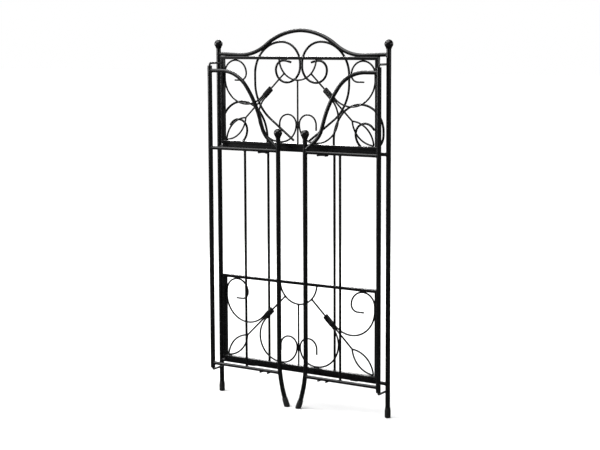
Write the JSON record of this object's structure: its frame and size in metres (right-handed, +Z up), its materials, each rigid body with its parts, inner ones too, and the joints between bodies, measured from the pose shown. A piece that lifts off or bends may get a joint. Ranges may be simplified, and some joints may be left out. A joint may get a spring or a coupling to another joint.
{
  "type": "folding plant stand",
  "caption": "Folding two-tier garden plant stand in black powder-coated steel, with ball finials, scrollwork shelves and an arched back, folded flat.",
  "frame": {"origin": "on the floor, in the middle of the folded stand's width and depth", "axes": "+X to the stand's right as seen from the front, +Y to the rear, +Z up"},
  "size_m": [0.5924, 0.0734, 1.0815],
  "materials": {
    "black_steel": "satin powder coat",
    "hinge_steel": "satin paint, worn at the hinges",
    "foot_rubber": "matte",
    "bush_plastic": "matte"
  },
  "bodies": {
    "rear_frame": {"arch_rail": "black_steel", "back_bars": "black_steel", "left_back_spiral": "black_steel", "left_heart_scroll": "black_steel", "left_hinge_pins": "hinge_steel", "left_rear_finial": "black_steel", "left_rear_foot": "foot_rubber", "left_rear_post": "black_steel", "lower_back_rail": "black_steel", "lower_shelf_centre_bar": "black_steel", "lower_shelf_collars": "black_steel", "lower_shelf_front_bar": "black_steel", "lower_shelf_half_ring": "black_steel", "lower_shelf_hinge_clips": "hinge_steel", "lower_shelf_left_centre_scroll": "black_steel", "lower_shelf_left_corner_scroll": "black_steel", "lower_shelf_rear_bar": "black_steel", "lower_shelf_right_centre_scroll": "black_steel", "lower_shelf_right_corner_scroll": "black_steel", "lower_shelf_side_bars": "black_steel", "lower_shelf_stem_leaves": "black_steel", "right_back_spiral": "black_steel", "right_heart_scroll": "black_steel", "right_hinge_pins": "hinge_steel", "right_rear_finial": "black_steel", "right_rear_foot": "foot_rubber", "right_rear_post": "black_steel", "upper_back_rail": "black_steel", "upper_shelf_centre_bar": "black_steel", "upper_shelf_collars": "black_steel", "upper_shelf_front_bar": "black_steel", "upper_shelf_half_ring": "black_steel", "upper_shelf_hinge_clips": "hinge_steel", "upper_shelf_left_centre_scroll": "black_steel", "upper_shelf_left_corner_scroll": "black_steel", "upper_shelf_rear_bar": "black_steel", "upper_shelf_right_centre_scroll": "black_steel", "upper_shelf_right_corner_scroll": "black_steel", "upper_shelf_side_bars": "black_steel", "upper_shelf_stem_leaves": "black_steel"},
    "left_side": {"left_front_finial": "black_steel", "left_front_foot": "foot_rubber", "left_front_leg": "black_steel", "left_hinge_bushes": "bush_plastic", "left_hinge_tube": "black_steel", "left_lower_cross_rail": "black_steel", "left_s_rail": "black_steel", "left_shelf_rests": "black_steel", "left_side_bar": "black_steel", "left_upper_cross_rail": "black_steel"},
    "right_side": {"right_front_finial": "black_steel", "right_front_foot": "foot_rubber", "right_front_leg": "black_steel", "right_hinge_bushes": "bush_plastic", "right_hinge_tube": "black_steel", "right_lower_cross_rail": "black_steel", "right_s_rail": "black_steel", "right_shelf_rests": "black_steel", "right_side_bar": "black_steel", "right_upper_cross_rail": "black_steel"}
  },
  "joints": [
    {"name": "left_side_fold", "type": "hinge", "parent": "rear_frame", "child": "left_side", "pos_m": [-0.281, -0.0245, 0], "axis": [0, 0, -1], "range_deg": [0, 90]},
    {"name": "right_side_fold", "type": "hinge", "parent": "rear_frame", "child": "right_side", "pos_m": [0.281, -0.0245, 0], "axis": [0, 0, 1], "range_deg": [0, 90]}
  ]
}
